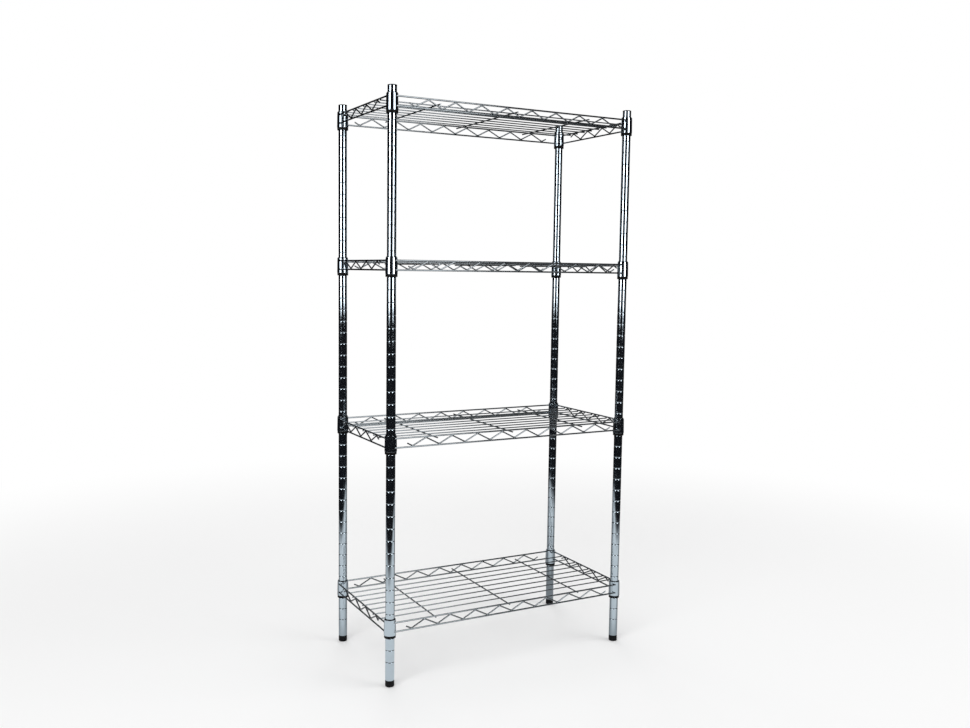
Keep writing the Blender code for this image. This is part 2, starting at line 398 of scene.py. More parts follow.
def straight_wire(name: str, length: float, diameter: float, sides: int, end_round: float) -> Object:
    """Make a straight round wire along X, centred on the origin, with rounded ends.

    Args:
        name: name of the new object.
        length: length over the ends.
        diameter: diameter of the wire.
        sides: number of flats round it.
        end_round: width of the rounding at each end.

    Returns:
        The wire.
    """
    obj = primitive(
        name,
        bpy.ops.mesh.primitive_cylinder_add,
        vertices=sides,
        radius=diameter / 2,
        depth=length,
        rotation=(0.0, QUARTER_TURN, 0.0),
    )
    round_edges(obj, end_round)
    return obj


def bent_wire(name: str, points: list[Vector], diameter: float, reach: float) -> Object:
    """Bend a round wire along a line with rounded corners.

    Args:
        name: name of the new object.
        points: ends and corners of the wire's centre line.
        diameter: diameter of the wire.
        reach: distance from a corner at which its bend starts.

    Returns:
        The wire as a closed mesh.
    """
    obj = draw_line(name, points)
    with editing(obj):
        select_verts(obj, lambda vert: len(vert.link_edges) == 2)
        bpy.ops.mesh.bevel(offset=reach, segments=BEND_SEGMENTS, affect="VERTICES")
    make_active(obj)
    bpy.ops.object.convert(target="CURVE")
    curve = bpy.context.object.data
    curve.bevel_depth = diameter / 2
    curve.bevel_resolution = WIRE_RESOLUTION
    curve.use_fill_caps = True
    bpy.ops.object.convert(target="MESH")
    wire = named(name)
    with editing(wire):
        clean_up()
    return wire


def repeat(obj: Object, count: int, step: Vector) -> None:
    """Repeat a body along a line: so many in all, each one step further."""
    apply_modifier(
        obj,
        "ARRAY",
        count=count,
        use_relative_offset=False,
        use_constant_offset=True,
        constant_offset_displace=step,
    )


def shift(obj: Object, offset: Vector) -> None:
    """Move the mesh of a body, and leave its object at the origin."""
    with editing(obj):
        bpy.ops.transform.translate(value=offset)


def joined(name: str, parts: list[Object]) -> Object:
    """Join several bodies into one.

    Args:
        name: name of the result.
        parts: the bodies.

    Returns:
        The joined body.
    """
    deselect_all()
    for part in parts:
        part.select_set(True)
    bpy.context.view_layer.objects.active = parts[0]
    bpy.ops.object.join()
    return named(name)


class Sheet:
    """A node tree that is filled from code."""

    def __init__(self, tree: bpy.types.NodeTree) -> None:
        """Start from an empty tree."""
        self.tree = tree
        tree.nodes.clear()

    def add(self, kind: str, inputs: dict | None = None, **options: object) -> bpy.types.Node:
        """Add a node, set its options, and fill its inputs with values or links.

        Args:
            kind: type name of the node.
            inputs: a value, or a socket to link from, by the input's name or number.
            options: properties of the node.

        Returns:
            The node.
        """
        node = self.tree.nodes.new(kind)
        for name, value in options.items():
            setattr(node, name, value)
        for key, value in (inputs or {}).items():
            if isinstance(value, Socket):
                self.tree.links.new(value, node.inputs[key])
            else:
                node.inputs[key].default_value = value
        return node

    def math(self, operation: str, first: object, second: object) -> Socket:
        """Return the result of an operation on two values or sockets."""
        return self.add("ShaderNodeMath", {0: first, 1: second}, operation=operation).outputs[0]

    def weigh(self, values: tuple[Socket, Socket], shares: Pair) -> Socket:
        """Return the sum of two values, each times its share."""
        first, second = (self.math("MULTIPLY", value, share) for value, share in zip(values, shares))
        return self.math("ADD", first, second)

    def ramp(self, value: Socket, low: float, high: float, start: float = 0.0, end: float = 1.0) -> Socket:
        """Return a value mapped smoothly from low and high to start and end, and clamped."""
        inputs = {"Value": value, "From Min": low, "From Max": high, "To Min": start, "To Max": end}
        return self.add("ShaderNodeMapRange", inputs, interpolation_type="SMOOTHSTEP").outputs["Result"]

    def noise(self, vector: Socket, scale: object, detail: float) -> Socket:
        """Return the value of a noise texture, from 0 to 1."""
        inputs = {"Vector": vector, "Scale": scale, "Detail": detail}
        return self.add("ShaderNodeTexNoise", inputs).outputs["Fac"]

    def place(self) -> Socket:
        """Return the object coordinates."""
        return self.add("ShaderNodeTexCoord").outputs["Object"]

    def mapped(self, vector: Socket, settings: dict[str, Triple]) -> Socket:
        """Return a vector moved, turned or scaled by the settings of a Mapping node."""
        return self.add("ShaderNodeMapping", {"Vector": vector, **settings}).outputs["Vector"]

    def along(self, vector: Socket, axis: str) -> Socket:
        """Return one coordinate of a vector."""
        return self.add("ShaderNodeSeparateXYZ", {"Vector": vector}).outputs[axis]

    def mix(self, mask: Socket, first: object, second: object) -> Socket:
        """Return a mix of two colours by a mask."""
        inputs = {"Factor": mask, MIX_FIRST: first, MIX_SECOND: second}
        return self.add("ShaderNodeMix", inputs, data_type="RGBA").outputs[MIX_RESULT]

    def matt(self, colour: Triple) -> Socket:
        """Return a matt surface."""
        return self.add("ShaderNodeBsdfDiffuse", {"Color": (*colour, 1.0)}).outputs[0]

    def light(self, strength: object, kind: str = "Emission") -> Socket:
        """Return a surface, or a background, that gives white light."""
        return self.add(f"ShaderNode{kind}", {"Color": WHITE, "Strength": strength}).outputs[0]

    def fade(self, mask: Socket, first: Socket, second: Socket) -> Socket:
        """Return a mix of two surfaces by a mask."""
        return self.add("ShaderNodeMixShader", {0: mask, 1: first, 2: second}).outputs[0]

    def output(self, surface: Socket, kind: str = "Material") -> None:
        """Make a surface the result of the tree."""
        self.add(f"ShaderNodeOutput{kind}", {"Surface": surface})


def new_material(name: str) -> tuple[Material, Sheet]:
    """Start a material.

    Args:
        name: its name.

    Returns:
        The material and its empty nodes.
    """
    material = bpy.data.materials.new(name)
    material.use_nodes = True
    return material, Sheet(material.node_tree)


class Effect(Enum):
    """Node groups that several finishes share."""

    PLATING = "plating"
    MOULDING = "moulding"


@dataclass(frozen=True)
class SharedEffects:
    """The node groups, with the scale and detail of each noise and the ranges and shares that mix them."""

    smudge: Pair = (26.0, 4.0)
    ripple: Pair = (700.0, 1.0)
    drawn: Pair = (1.0, 3.0)
    tarnish: Pair = (0.48, 0.78)
    haze_shares: Pair = (0.6, 0.4)
    plating_shares: Pair = (0.8, 0.15)
    grain_detail: float = 2.0
    flow: Pair = (120.0, 3.0)
    scratches: Pair = (520.0, 5.0)
    scuff: Pair = (0.60, 0.74)
    wear_shares: Pair = (0.6, 0.4)

    def start(self, effect: Effect, own_input: str, kind: str) -> tuple[Sheet, Outputs]:
        """Start a group with the sockets that all of them have, and one of its own.

        Args:
            effect: the effect, which names the group.
            own_input: name of the group's own input.
            kind: socket type of that input.

        Returns:
            The sheet of the group and the sockets of its inputs.
        """
        group = bpy.data.node_groups.new(effect.value, "ShaderNodeTree")
        number = "NodeSocketFloat"
        inputs = {"Vector": "NodeSocketVector", own_input: kind, "Gloss": number, "Haze": number}
        for name, socket_type in inputs.items():
            group.interface.new_socket(name=name, in_out="INPUT", socket_type=socket_type)
        for name in ("Roughness", "Height", "Marks"):
            group.interface.new_socket(name=name, in_out="OUTPUT", socket_type=number)
        sheet = Sheet(group)
        return sheet, sheet.add("NodeGroupInput").outputs

    def make_plating(self) -> None:
        """Build the group for plated steel: faint smudges, drawn lines and a fine ripple."""
        sheet, given = self.start(Effect.PLATING, "Drawn Vector", "NodeSocketVector")
        smudge = sheet.noise(given["Vector"], *self.smudge)
        ripple = sheet.noise(given["Vector"], *self.ripple)
        drawn = sheet.noise(given["Drawn Vector"], *self.drawn)
        tarnish = sheet.ramp(smudge, *self.tarnish)
        height = sheet.weigh((drawn, ripple), self.plating_shares)
        uneven = sheet.weigh((tarnish, drawn), self.haze_shares)
        roughness = sheet.math("ADD", given["Gloss"], sheet.math("MULTIPLY", given["Haze"], uneven))
        sheet.add("NodeGroupOutput", {"Roughness": roughness, "Height": height, "Marks": tarnish})

    def make_moulding(self) -> None:
        """Build the group for moulded plastic: an eroded grain, flow marks and small scuffs."""
        sheet, given = self.start(Effect.MOULDING, "Grain Scale", "NodeSocketFloat")
        grain = sheet.noise(given["Vector"], given["Grain Scale"], self.grain_detail)
        flow = sheet.noise(given["Vector"], *self.flow)
        scuff = sheet.ramp(sheet.noise(given["Vector"], *self.scratches), *self.scuff)
        uneven = sheet.weigh((flow, scuff), self.wear_shares)
        roughness = sheet.math("ADD", given["Gloss"], sheet.math("MULTIPLY", given["Haze"], uneven))
        sheet.add("NodeGroupOutput", {"Roughness": roughness, "Height": grain, "Marks": scuff})


@dataclass(frozen=True)
class Finish:
    """A finish that several pieces share.

    Attributes:
        name: name of the material.
        tint: main colour.
        second: colour of its marks.
        gloss: lowest roughness.
        haze: how much rougher its hazy places are.
        relief: height of the bump, as a distance.
        effect: node group of the finish.
        mark_share: how much of the second colour its marks show.
        metallic: how metallic the surface is.
        specular: how strongly the surface mirrors under its colour.
    """

    name: str
    tint: Triple
    second: Triple
    gloss: float
    haze: float
    relief: float
    effect: ClassVar[Effect]
    mark_share: ClassVar[float] = 0.5
    metallic: ClassVar[float] = 0.0
    specular: ClassVar[float] = 0.5

    def material(self) -> Material:
        """Return the material, which is made the first time that it is asked for."""
        return bpy.data.materials.get(self.name) or self.make()

    def make(self) -> Material:
        """Make the material.

        Returns:
            The material with its nodes.
        """
        material, sheet = new_material(self.name)
        where = sheet.place()
        values = {"Vector": where, "Gloss": self.gloss, "Haze": self.haze, **self.own_input(sheet, where)}
        group = bpy.data.node_groups[self.effect.value]
        effect = sheet.add("ShaderNodeGroup", values, node_tree=group).outputs
        relief = {"Height": effect["Height"], "Strength": 1.0, "Distance": self.relief}
        surface = {
            "Base Color": self.colour(sheet, where, effect),
            "Metallic": self.metallic,
            "Specular IOR Level": self.specular,
            "Roughness": effect["Roughness"],
            "Normal": sheet.add("ShaderNodeBump", relief).outputs["Normal"],
        }
        sheet.output(sheet.add("ShaderNodeBsdfPrincipled", surface).outputs["BSDF"])
        return material

    def own_input(self, sheet: Sheet, where: Socket) -> dict[str, object]:
        """Return the input that only this finish's node group has."""
        raise NotImplementedError

    def marks(self, sheet: Sheet, where: Socket, effect: Outputs) -> Socket:
        """Return the mask of the second colour."""
        return sheet.math("MULTIPLY", effect["Marks"], self.mark_share)

    def colour(self, sheet: Sheet, where: Socket, effect: Outputs) -> Socket:
        """Return the colour of the surface, with the second colour on its marks."""
        mask = self.marks(sheet, where, effect)
        return sheet.mix(mask, (*self.tint, 1.0), (*self.second, 1.0))


@dataclass(frozen=True)
class Chrome(Finish):
    """Bright chrome plating on drawn steel, duller where it has a haze.

    Attributes:
        drawn: scale of the drawn lines along X, Y and Z.
    """

    drawn: Triple = (300.0, 300.0, 8.0)
    effect: ClassVar[Effect] = Effect.PLATING
    metallic: ClassVar[float] = 1.0

    def own_input(self, sheet: Sheet, where: Socket) -> dict[str, object]:
        """Return the coordinates of the drawn lines, which run along the piece."""
        return {"Drawn Vector": sheet.mapped(where, {"Scale": self.drawn})}


@dataclass(frozen=True)
class GroovedChrome(Chrome):
    """Chrome on a post, with painted shade darkening its grooves, weaker higher up the post."""

    first_groove: float = FIRST_GROOVE
    groove_pitch: float = GROOVE_PITCH
    # Painted shade in the grooves: its reach from a groove's middle, its dark colour and strength, and the
    # heights over which it weakens.
    groove_shade_reach: float = 0.0010
    groove_shade_tint: Triple = (0.05, 0.056, 0.062)
    groove_depth: float = 0.95
    groove_shade_fade: Pair = (0.60, 0.95)
    groove_shade_high: float = 0.30
    half_pitch: ClassVar[float] = 0.5

    def colour(self, sheet: Sheet, where: Socket, effect: Outputs) -> Socket:
        """Mix the colour of the plating with painted shade in the grooves, weaker higher up the post.

        Args:
            sheet: the material's nodes.
            where: socket with the object coordinates.
            effect: outputs of the finish's node group.

        Returns:
            The socket with the colour.
        """
        height = sheet.along(where, "Z")
        steps = sheet.math("DIVIDE", sheet.math("SUBTRACT", height, self.first_groove), self.groove_pitch)
        apart = sheet.math("PINGPONG", steps, self.half_pitch)
        near = sheet.ramp(apart, 0.0, self.groove_shade_reach / self.groove_pitch, self.groove_depth, 0.0)
        # Painted shade in the grooves, weakened higher up the post.
        painted_groove_shade = sheet.math("MULTIPLY", near, sheet.ramp(height, *self.groove_shade_fade, 1.0, self.groove_shade_high))
        groove = sheet.math("MULTIPLY", painted_groove_shade, sheet.math("GREATER_THAN", steps, -self.half_pitch))
        return sheet.mix(groove, super().colour(sheet, where, effect), (*self.groove_shade_tint, 1.0))


@dataclass(frozen=True)
class Plastic(Finish):
    """Black moulded plastic with a fine grain and grey scuffs."""

    grain: float = 2400.0
    effect: ClassVar[Effect] = Effect.MOULDING
    specular: ClassVar[float] = 0.12

    def own_input(self, sheet: Sheet, where: Socket) -> dict[str, object]:
        """Return the scale of the grain."""
        return {"Grain Scale": self.grain}


@dataclass(frozen=True)
class FloorPlastic(Plastic):
    """Black plastic of the feet, with patches of dust near the floor."""

    dust_height: float = 0.0035
    dust_noise: Pair = (260.0, 4.0)
    dust_range: Pair = (0.40, 0.70)
    dust_share: float = 0.7

    def marks(self, sheet: Sheet, where: Socket, effect: Outputs) -> Socket:
        """Mask the scuffs and the dust.

        Args:
            sheet: the material's nodes.
            where: socket with the object coordinates.
            effect: outputs of the finish's node group.

        Returns:
            The socket with the mask.
        """
        near = sheet.ramp(sheet.along(where, "Z"), 0.0, self.dust_height, 1.0, 0.0)
        patches = sheet.ramp(sheet.noise(where, *self.dust_noise), *self.dust_range)
        dust = sheet.math("MULTIPLY", sheet.math("MULTIPLY", near, patches), self.dust_share)
        return sheet.math("MAXIMUM", dust, super().marks(sheet, where, effect))


# The tube's chrome, with painted shade in its grooves.
TUBE_CHROME = GroovedChrome(
    "plated_tube", (0.48, 0.56, 0.62), (0.38, 0.44, 0.49), gloss=0.05, haze=0.09, relief=0.000004
)
COLLAR_CHROME = Chrome(
    "plated_collar", (0.48, 0.56, 0.62), (0.39, 0.45, 0.50), gloss=0.06, haze=0.10, relief=0.000005
)
# Wire chrome: the tubes' plating tinted far darker, as painted shade for the dark surroundings that the
# thin wires mirror.
SHADED_WIRE_CHROME = Chrome(
    "plated_wire", (0.21, 0.231, 0.245), (0.155, 0.17, 0.18), gloss=0.08, haze=0.12, relief=0.000006,
    drawn=(8.0, 300.0, 300.0),
)
# Chrome of the wires along Y: a still darker copy, as painted shade on the wires that run along Y.
SHADED_SIDE_CHROME = Chrome(
    "plated_side_wire", (0.17, 0.187, 0.20), (0.13, 0.143, 0.15), gloss=0.08, haze=0.12, relief=0.000006,
    drawn=(300.0, 8.0, 300.0),
)
WELD_CHROME = Chrome(
    "plated_weld", (0.47, 0.51, 0.54), (0.33, 0.36, 0.38), gloss=0.14, haze=0.20, relief=0.00002,
    drawn=(420.0, 420.0, 420.0),
)
CAP_BLACK = Plastic(
    "cap_black", (0.013, 0.013, 0.014), (0.035, 0.035, 0.036), gloss=0.34, haze=0.22, relief=0.00002
)
INSERT_BLACK = Plastic(
    "insert_black", (0.020, 0.020, 0.021), (0.045, 0.045, 0.046), gloss=0.50, haze=0.25, relief=0.00003
)
SLEEVE_BLACK = Plastic(
    "sleeve_black", (0.003, 0.003, 0.0035), (0.014, 0.014, 0.015), gloss=0.36, haze=0.25, relief=0.00002
)
FOOT_BLACK = FloorPlastic(
    "foot_black", (0.005, 0.005, 0.006), (0.035, 0.034, 0.033), gloss=0.42, haze=0.28, relief=0.00003
)


@dataclass(frozen=True)
class Piece:
    """A placed piece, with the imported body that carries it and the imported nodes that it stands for."""

    obj: Object
    body: str
    nodes: tuple[str, ...]
    slot: Slot
    finish: Finish


@dataclass
class SubAssembly:
    """A kind of piece that is modelled once, copied to its places and dressed."""

    layout: Layout
    pieces: list[Piece] = field(default_factory=list, init=False)

    def build(self) -> None:
        """Model the masters and place their copies."""
        raise NotImplementedError

    def shelves(self) -> Iterator[tuple[str, Matrix]]:
        """Yield the name and the place of each shelf."""
        for level, height in self.layout.heights.items():
            yield level.value, Matrix.Translation(up(height))

    def copy(self, master: Object, name: str, place: Matrix, **facts: object) -> None:
        """Copy a master with its own mesh, with its place in the mesh.

        Args:
            master: the modelled shape.
            name: name of the new piece.
            place: where the copy goes.
            facts: body, nodes, slot and finish of the piece.
        """
        mesh = master.data.copy()
        mesh.name = name
        mesh.transform(place)
        obj = bpy.data.objects.new(name, mesh)
        bpy.context.scene.collection.objects.link(obj)
        self.pieces.append(Piece(obj, **facts))

    def at_corners(
        self, master: Object, name: str, node: str, height: float, body: str = "", **facts: object
    ) -> None:
        """Copy a master to every post.

        Args:
            master: the modelled shape, on the axis of the origin.
            name: start of the pieces' names.
            node: start of the names of the nodes that they stand for.
            height: height of the copies.
            body: the body that carries them, or nothing where each has its own.
            facts: slot and finish of the pieces.
        """
        for corner, axis in self.layout.axes.items():
            own = f"{node}_{corner.value}"
            place = Matrix.Translation(axis + up(height))
            self.copy(master, f"{name}_{corner.value}", place, body=body or own, nodes=(own,), **facts)

    def dress(self) -> None:
        """Give every piece its finish and hang it on its body."""
        for piece in self.pieces:
            piece.obj.data.materials.clear()
            piece.obj.data.materials.append(piece.finish.material())
            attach(piece.obj, piece.body)
            if piece.nodes:
                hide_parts(*piece.nodes)
            LOG.info("%s on %s, %d faces", piece.obj.name, piece.body, len(piece.obj.data.polygons))

    def make(self) -> None:
        """Build the pieces, dress them and remove the masters."""
        before = set(bpy.data.objects)
        self.build()
        kept = {piece.obj for piece in self.pieces}
        for obj in set(bpy.data.objects) - before - kept:
            bpy.data.objects.remove(obj, do_unlink=True)
        self.dress()


@dataclass
class Posts(SubAssembly):
    """Chromed tubes with a ladder of rolled grooves."""

    radius: float = 0.0095
    bore: float = 0.0085
    sides: int = 48
    edge: float = 0.0004
    first_groove: float = FIRST_GROOVE
    groove_pitch: float = GROOVE_PITCH
    groove_count: int = 44
    groove_depth: float = 0.00038
    groove_width: float = 0.0028
    groove_steps: int = 8
    seat_rise: float = 0.0254

    def groove(self, height: float) -> Profile:
        """Outline one groove.

        Args:
            height: height of the groove's middle.

        Returns:
            The points of the outline, from the upper edge down.
        """
        points = []
        for i in range(self.groove_steps + 1):
            share = i / self.groove_steps
            depth = self.groove_depth * (0.5 - 0.5 * math.cos(FULL_TURN * share))
            points.append((self.radius - depth, height + self.groove_width * (0.5 - share)))
        return points

    def build(self) -> None:
        """Turn one tube and stand a copy at each corner."""
        low, high = self.layout.post_base, self.layout.post_top
        profile = [(self.bore, high), (self.radius - self.edge, high), (self.radius, high - self.edge)]
        profile += self.groove(self.layout.heights[Level.TOP] + self.seat_rise)
        for i in reversed(range(self.groove_count)):
            profile += self.groove(self.first_groove + i * self.groove_pitch)
        profile += [(self.radius, low + self.edge), (self.radius - self.edge, low), (self.bore, low)]
        tube = turn("tube", profile, self.sides)
        shade(tube)
        self.at_corners(tube, "tube", "post", 0.0, UPRIGHTS, slot=Slot.TUBE, finish=TUBE_CHROME)


@dataclass
class PostCaps(SubAssembly):
    """Low domed plugs in the upper ends of the posts."""

    radius: float = 0.0095
    plug_radius: float = 0.0082
    plug_length: float = 0.0120
    seat: float = 0.0003
    rim: float = 0.0010
    dome: float = 0.0014
    dome_steps: int = 10
    gate_radius: float = 0.0011
    gate_depth: float = 0.0002
    gate_taper: float = 0.8
    edge: float = 0.00025
    sides: int = 48

    def build(self) -> None:
        """Turn one cap and set a copy on each post."""
        profile = [(0.0, -self.plug_length), (self.plug_radius, -self.plug_length)]
        profile += [(self.plug_radius, self.seat), (self.radius, self.seat)]
        rise = self.seat + self.rim
        for i in range(self.dome_steps):
            angle = QUARTER_TURN * i / self.dome_steps
            profile.append((self.radius * math.cos(angle), rise + self.dome * math.sin(angle)))
        top = rise + self.dome
        gate = top - self.gate_depth
        profile += [(self.gate_radius, top), (self.gate_radius * self.gate_taper, gate), (0.0, gate)]
        cap = turn("cap", profile, self.sides)
        round_edges(cap, self.edge, sharpness=MOULD_SHARP)
        shade(cap)
        top = self.layout.post_top
        self.at_corners(cap, "cap", "post_cap", top, UPRIGHTS, slot=Slot.CAP, finish=CAP_BLACK)


@dataclass
class FootSockets(SubAssembly):
    """Plugs in the lower ends of the posts, with a hole for the foot's stem."""

    radius: float = 0.0082
    hole: float = 0.0043
    length: float = 0.0200
    edge: float = 0.0005
    sides: int = 48

    def build(self) -> None:
        """Turn one plug and set a copy in each post."""
        profile = [(self.hole, self.length), (self.radius, self.length)]
        profile += [(self.radius, 0.0), (self.hole, 0.0)]
        plug = turn("socket", profile, self.sides)
        round_edges(plug, self.edge)
        shade(plug)
        base = self.layout.post_base
        facts = {"slot": Slot.INSERT, "finish": INSERT_BLACK}
        self.at_corners(plug, "socket", "foot_insert", base, UPRIGHTS, **facts)


@dataclass
class LevellingFeet(SubAssembly):
    """Black pads, each on a threaded stem."""

    radius: float = 0.0095
    height: float = 0.0130
    edge_radius: float = 0.0020
    edge_steps: int = 5
    step_inset: float = 0.0004
    step_height: float = 0.0009
    step_edge: float = 0.00018
    hollow_radius: float = 0.0058
    hollow_depth: float = 0.0008
    core_radius: float = 0.0034
    stem_length: float = 0.0240
    thread_pitch: float = 0.00125
    thread_turns: int = 18
    thread_radius: float = 0.0040
    thread_sink: float = 0.0001
    thread_start: float = 0.0004
    thread_half: float = 0.42
    sides: int = 48

    def thread(self) -> Object:
        """Wind the ridge of the thread round the stem.

        Returns:
            The ridge as a closed body.
        """
        root = self.core_radius - self.thread_sink
        low = self.height + self.thread_start
        half = self.thread_pitch * self.thread_half
        points = [
            Vector((root, 0.0, low)),
            Vector((self.thread_radius, 0.0, low + half)),
            Vector((root, 0.0, low + 2 * half)),
        ]
        ridge = draw_line("thread", points, closed=True)
        apply_modifier(
            ridge,
            "SCREW",
            axis="Z",
            screw_offset=self.thread_pitch,
            iterations=self.thread_turns,
            steps=self.sides // 2,
            render_steps=self.sides // 2,
        )
        with editing(ridge):
            bpy.ops.mesh.fill_holes(sides=len(points))
            clean_up()
        return ridge

    def build(self) -> None:
        """Turn one pad with its stem and set a copy under each post."""
        stem_top = self.height + self.stem_length
        step = self.radius - self.step_inset
        profile = [(0.0, stem_top), (self.core_radius, stem_top), (self.core_radius, self.height)]
        profile += [(step, self.height), (step, self.height - self.step_height)]
        profile += [(self.radius, self.height - self.step_height)]
        profile += round_foot(self.radius, self.edge_radius, self.edge_steps)
        profile += [(self.hollow_radius, 0.0), (self.hollow_radius, self.hollow_depth)]
        profile += [(0.0, self.hollow_depth)]
        pad = turn("pad", profile, self.sides)
        round_edges(pad, self.step_edge, sharpness=MOULD_SHARP)
        foot = joined("foot", [pad, self.thread()])
        shade(foot)
        self.at_corners(foot, "foot_pad", "foot", 0.0, slot=Slot.FOOT, finish=FOOT_BLACK)


@dataclass
class SplitSleeves(SubAssembly):
    """Black tapered sleeves in two halves, which clip to the posts and hold the collars."""

    bore: float = 0.0098
    top_height: float = 0.0403
    top_radius: float = 0.01067
    shoulder_radius: float = 0.0113
    ring_radius: float = 0.0120
    ring_height: float = 0.0055
    ring_round: float = 0.0008
    ring_steps: int = 5
    bead_height: float = 0.0254
    bead_depth: float = 0.0005
    bead_width: float = 0.0022
    split: float = 0.0003
    edge: float = 0.0002
    sides: int = 48

    def build(self) -> None:
        """Turn one half and clip two copies round each post under each shelf."""
        profile = [(self.bore, self.top_height), (self.top_radius, self.top_height)]
        profile += [(self.shoulder_radius, self.ring_height), (self.ring_radius, self.ring_height)]
        profile += round_foot(self.ring_radius, self.ring_round, self.ring_steps)
        profile += [(self.bore, 0.0), (self.bore, self.bead_height - self.bead_width / 2)]
        profile += [(self.bore - self.bead_depth, self.bead_height)]
        profile += [(self.bore, self.bead_height + self.bead_width / 2)]
        gap = math.asin(self.split / 2 / self.bore)
        half = turn("half", profile, self.sides, math.pi - 2 * gap, -gap)
        round_edges(half, self.edge, sharpness=MOULD_SHARP)
        shade(half)
        facts = {"body": UPRIGHTS, "slot": Slot.SLEEVE, "finish": SLEEVE_BLACK}
        for shelf, at_shelf in self.shelves():
            for corner, axis in self.layout.axes.items():
                for side in Half:
                    name = f"{shelf}_{corner.value}_{side.name.lower()}"
                    place = at_shelf @ Matrix.Translation(axis) @ Matrix.Rotation(side.value, 4, "Z")
                    self.copy(half, f"clip_{name}", place, nodes=(f"sleeve_{name}",), **facts)


@dataclass
class ShelfFrames(SubAssembly):
    """Corner collars, rail wires and the zigzag wires between the rails."""

    collar_base: float = 0.0058
    collar_height: float = 0.0330
    collar_radius: float = 0.0120
    collar_wall: float = 0.0010
    collar_taper: float = 0.0006
    collar_edge: float = 0.0004
    collar_edge_steps: int = 3
    collar_sides: int = 48
    rail_diameter: float = 0.0035
    rail_offset: float = 0.0105
    rail_end_inset: float = 0.0040
    rail_end_round: float = 0.0007
    rail_spacing: float = 0.0190
    rail_sides: int = 16
    lower_rail: float = 0.0138
    zigzag_diameter: float = 0.0030
    zigzag_pitch: float = 0.0595
    zigzag_sink: float = 0.0006
    zigzag_shade: float = 50.0
    long_turns: int = 8
    short_turns: int = 3
    stub: float = 0.0130
    bend_reach: float = 0.0028
    bend_flattening: float = 0.26

    @property
    def rail_x(self) -> float:
        """Return the distance of the short rails from the middle."""
        return self.layout.span_x / 2 + self.rail_offset

    @property
    def rail_y(self) -> float:
        """Return the distance of the long rails from the middle."""
        return self.layout.span_y / 2 + self.rail_offset

    @property
    def touch(self) -> float:
        """Return the distance from a rail's middle to the zigzag's, where they are welded."""
        return (self.rail_diameter + self.zigzag_diameter) / 2 - self.zigzag_sink

    def collar(self) -> Object:
        """Turn one tapered collar.

        Returns:
            The collar, with its middle on the origin's axis.
        """
        low, high = self.collar_base, self.collar_base + self.collar_height
        profile = [(self.collar_radius - self.collar_wall, high), (self.collar_radius, high)]
        profile += [(self.collar_radius + self.collar_taper, low)]
        profile += [(self.collar_radius + self.collar_taper - self.collar_wall, low)]
        collar = turn("collar", profile, self.collar_sides)
        round_edges(collar, self.collar_edge, self.collar_edge_steps)
        shade(collar)
        return collar

    def rails(self, name: str, span: float) -> Object:
        """Lay the two rails of one side along X.

        Args:
            name: name of the master.
            span: distance between the posts.

        Returns:
            The pair of rails.
        """
        length = span - 2 * self.rail_end_inset
        pair = straight_wire(name, length, self.rail_diameter, self.rail_sides, self.rail_end_round)
        shift(pair, up(self.lower_rail))
        repeat(pair, 2, up(self.rail_spacing))
        self.bore(pair, span)
        shade(pair)
        return pair

    def bore(self, rails: Object, span: float) -> None:
        """Cut the bores of the two collars out of the ends of a pair of rails.

        Args:
            rails: the rails, along X, with the inside of the shelf towards +Y.
            span: distance between the posts.
        """
        bore = self.collar_radius - self.collar_wall
        for end in (-span / 2, span / 2):
            cutter = primitive(
                "bore",
                bpy.ops.mesh.primitive_cone_add,
                vertices=self.collar_sides,
                radius1=bore + self.collar_taper,
                radius2=bore,
                depth=self.collar_height,
                location=(end, self.rail_offset, self.collar_base + self.collar_height / 2),
            )
            apply_modifier(rails, "BOOLEAN", operation="DIFFERENCE", object=cutter)

    def zigzag(self, name: str, turns: int) -> Object:
        """Bend the zigzag wire of one side along X, with a free stub past each last turn.

        Args:
            name: name of the master.
            turns: number of turns on each side of the middle one.

        Returns:
            The wire.
        """
        overshoot = self.bend_reach * self.bend_flattening
        low = self.lower_rail + self.touch - overshoot
        high = self.lower_rail + self.rail_spacing - self.touch + overshoot
        corners = []
        for i in range(-turns, turns + 1):
            corners.append(Vector((i * self.zigzag_pitch / 2, 0.0, low if i % 2 == 0 else high)))
        step = (corners[0] - corners[1]).normalized() * self.stub
        start = corners[0] + Vector((step.x, 0.0, -step.z))
        end = Vector((-start.x, 0.0, start.z))
        wire = bent_wire(name, [start, *corners, end], self.zigzag_diameter, self.bend_reach)
        shade(wire, self.zigzag_shade)
        return wire

    def place_of(self, side: Side) -> Matrix:
        """Find where the wires of one side go, from their place along X.

        Args:
            side: the side of the frame.

        Returns:
            The move and turn that take them there.
        """
        toward_x, toward_y = side.value
        move = Matrix.Translation((toward_x * self.rail_x, toward_y * self.rail_y, 0.0))
        return move @ Matrix.Rotation(math.atan2(toward_x, -toward_y), 4, "Z")

    def build(self) -> None:
        """Model the collar and the wires of a long and a short side, and place them for each shelf."""
        collar = self.collar()
        long_rails = self.rails("long_rails", self.layout.span_x)
        short_rails = self.rails("short_rails", self.layout.span_y)
        long_zigzag = self.zigzag("long_zigzag", self.long_turns)
        short_zigzag = self.zigzag("short_zigzag", self.short_turns)
        for shelf, at_shelf in self.shelves():
            facts = {"body": f"shelf_{shelf}", "nodes": (f"shelf_frame_{shelf}",), "slot": Slot.WIRE}
            for corner, axis in self.layout.axes.items():
                place = at_shelf @ Matrix.Translation(axis)
                self.copy(collar, f"collar_{shelf}_{corner.value}", place, finish=COLLAR_CHROME, **facts)
            for side in Side:
                place = at_shelf @ self.place_of(side)
                name = f"{shelf}_{side.name.lower()}"
                facts["finish"] = SHADED_WIRE_CHROME if side.is_long else SHADED_SIDE_CHROME
                self.copy(long_rails if side.is_long else short_rails, f"rails_{name}", place, **facts)
                self.copy(long_zigzag if side.is_long else short_zigzag, f"zigzag_{name}", place, **facts)


